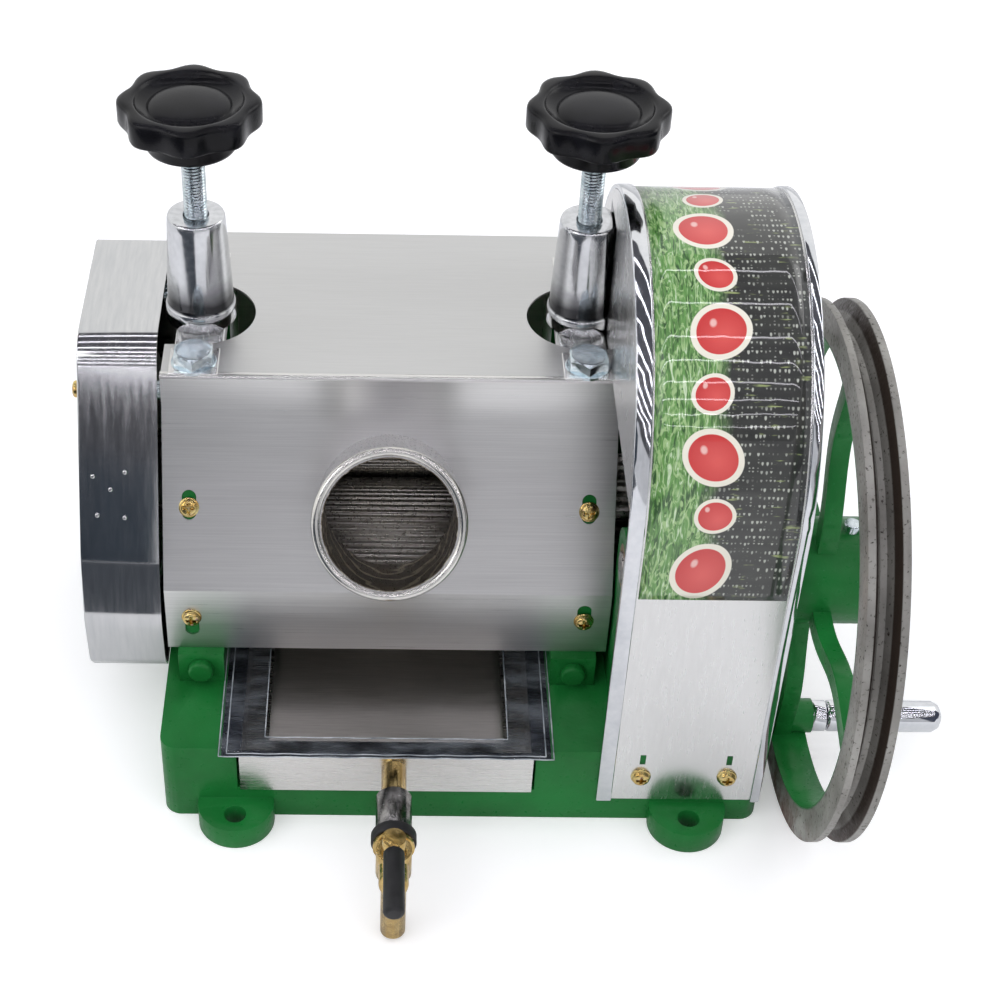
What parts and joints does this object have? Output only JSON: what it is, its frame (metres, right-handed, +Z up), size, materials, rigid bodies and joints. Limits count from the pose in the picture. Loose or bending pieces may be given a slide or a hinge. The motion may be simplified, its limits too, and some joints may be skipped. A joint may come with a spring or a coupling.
{
  "type": "manual sugarcane juicer",
  "caption": "Bench-top hand-cranked roller mill for sugarcane: cast base, sheet covers, flywheel, pressure screws, juice tray and tap.",
  "frame": {"origin": "centre of the four mounting holes, on the underside of the base", "axes": "+X to the flywheel side, +Y to the back of the machine, +Z up"},
  "size_m": [0.4645, 0.391, 0.337],
  "materials": {
    "green_enamel": "satin",
    "steel_sheet": "brushed",
    "satin_sheet": "satin",
    "polished_sheet": "polished",
    "machined_steel": "satin",
    "raw_iron": "satin",
    "zinc_bolt": "satin",
    "gold_zinc": "satin",
    "chrome": "polished",
    "bronze": "satin",
    "yellow_brass": "satin",
    "black_plastic": "satin",
    "black_rubber": "matte",
    "tray_steel": "satin"
  },
  "bodies": {
    "frame": {"base_casting": "green_enamel", "side_frame_left": "green_enamel", "side_frame_right": "green_enamel", "frame_bolts": "zinc_bolt", "lower_bushes": "bronze", "bridge_plates": "machined_steel", "bridge_bolts": "zinc_bolt", "spring_housings": "zinc_bolt", "top_cover": "satin_sheet", "front_panel": "steel_sheet", "panel_screws": "gold_zinc", "feed_tube": "steel_sheet", "rear_panel": "steel_sheet", "rear_panel_screws": "gold_zinc", "outlet_chute": "steel_sheet", "left_gear_cover": "polished_sheet", "cover_studs": "zinc_bolt", "cover_screws": "zinc_bolt", "guard_front_sheet": "polished_sheet", "guard_beads": "chrome", "guard_side_plates": "satin_sheet", "guard_screws": "zinc_bolt", "bearing_bracket": "green_enamel", "input_bushes": "bronze", "bracket_bolts": "zinc_bolt", "counter_pin": "machined_steel", "turner_plate": "machined_steel"},
    "flywheel": {"flywheel": "green_enamel", "hub_set_screw": "zinc_bolt", "input_shaft": "machined_steel", "input_pinion": "machined_steel", "pinion_key": "machined_steel", "crank_stud": "machined_steel", "crank_nut": "zinc_bolt"},
    "crank_grip": {"crank_grip": "chrome"},
    "counter_gear": {"counter_gear": "raw_iron", "counter_pinion": "machined_steel"},
    "front_roller": {"front_roller": "machined_steel", "front_roller_gear": "raw_iron", "front_drive_gear": "raw_iron"},
    "rear_roller": {"rear_roller": "machined_steel", "rear_roller_gear": "raw_iron"},
    "bearing_blocks": {"bearing_blocks": "raw_iron", "spring_pushers": "machined_steel"},
    "upper_roller": {"upper_roller": "machined_steel", "upper_roller_gear": "raw_iron"},
    "spring_cap_left": {"spring_cap_left": "machined_steel", "spring_left": "machined_steel"},
    "spring_cap_right": {"spring_cap_right": "machined_steel", "spring_right": "machined_steel"},
    "pressure_screw_left": {"pressure_screw_left": "zinc_bolt", "knob_left": "black_plastic"},
    "pressure_screw_right": {"pressure_screw_right": "zinc_bolt", "knob_right": "black_plastic"},
    "juice_tray": {"juice_tray": "tray_steel", "tap_body": "yellow_brass", "tap_gasket": "black_rubber"},
    "strainer_plate": {"strainer_plate": "tray_steel"},
    "tap_lever": {"tap_lever": "zinc_bolt", "tap_sleeve": "black_rubber"}
  },
  "joints": [
    {"name": "flywheel_turn", "type": "hinge", "parent": "frame", "child": "flywheel", "pos_m": [0.1, -0.0763, 0.14001], "axis": [1, 0, 0], "continuous": true},
    {"name": "grip_turn", "type": "hinge", "parent": "flywheel", "child": "crank_grip", "pos_m": [0.23, -0.06793, 0.02602], "axis": [1, 0, 0], "continuous": true},
    {"name": "counter_turn", "type": "hinge", "parent": "frame", "child": "counter_gear", "pos_m": [0.1, -0.0018, 0.13131], "axis": [1, 0, 0], "continuous": true},
    {"name": "front_roller_turn", "type": "hinge", "parent": "frame", "child": "front_roller", "pos_m": [-0.04, 0.0014, 0.09395], "axis": [1, 0, 0], "continuous": true},
    {"name": "rear_roller_turn", "type": "hinge", "parent": "frame", "child": "rear_roller", "pos_m": [-0.04, 0.0706, 0.09395], "axis": [1, 0, 0], "continuous": true},
    {"name": "roller_lift", "type": "slide", "parent": "frame", "child": "bearing_blocks", "axis": [0, 0, 1], "range_m": [0, 0.001], "stiffness_N_per_m": 20000},
    {"name": "upper_roller_turn", "type": "hinge", "parent": "bearing_blocks", "child": "upper_roller", "pos_m": [-0.04, 0.036, 0.146], "axis": [1, 0, 0], "continuous": true},
    {"name": "screw_feed_left", "type": "slide", "parent": "frame", "child": "spring_cap_left", "axis": [0, 0, 1], "range_m": [-0.007, 0.0035], "deforming": ["spring_left"]},
    {"name": "screw_turn_left", "type": "hinge", "parent": "spring_cap_left", "child": "pressure_screw_left", "pos_m": [-0.1382, 0.036, 0.3], "axis": [0, 0, 1], "range_deg": [-1440, 720]},
    {"name": "screw_feed_right", "type": "slide", "parent": "frame", "child": "spring_cap_right", "axis": [0, 0, 1], "range_m": [-0.007, 0.0035], "deforming": ["spring_right"]},
    {"name": "screw_turn_right", "type": "hinge", "parent": "spring_cap_right", "child": "pressure_screw_right", "pos_m": [0.0582, 0.036, 0.3], "axis": [0, 0, 1], "range_deg": [-1440, 720]},
    {"name": "tray_slide", "type": "slide", "parent": "frame", "child": "juice_tray", "axis": [0, -1, 0], "range_m": [0, 0.15]},
    {"name": "strainer_lift", "type": "slide", "parent": "juice_tray", "child": "strainer_plate", "axis": [0, 0, 1], "range_m": [0, 0.012]},
    {"name": "tap_turn", "type": "hinge", "parent": "juice_tray", "child": "tap_lever", "pos_m": [-0.036, -0.1815, 0.05], "axis": [0, 0, 1], "range_deg": [0, 90]}
  ],
  "couplings": [
    {"joint": "counter_turn", "follows": "flywheel_turn", "ratio": -0.25},
    {"joint": "front_roller_turn", "follows": "flywheel_turn", "ratio": 0.16667},
    {"joint": "upper_roller_turn", "follows": "flywheel_turn", "ratio": -0.16667},
    {"joint": "rear_roller_turn", "follows": "flywheel_turn", "ratio": 0.16667},
    {"joint": "screw_feed_left", "follows": "screw_turn_left", "m_per_rad": 0.00027852},
    {"joint": "screw_feed_right", "follows": "screw_turn_right", "m_per_rad": 0.00027852}
  ]
}
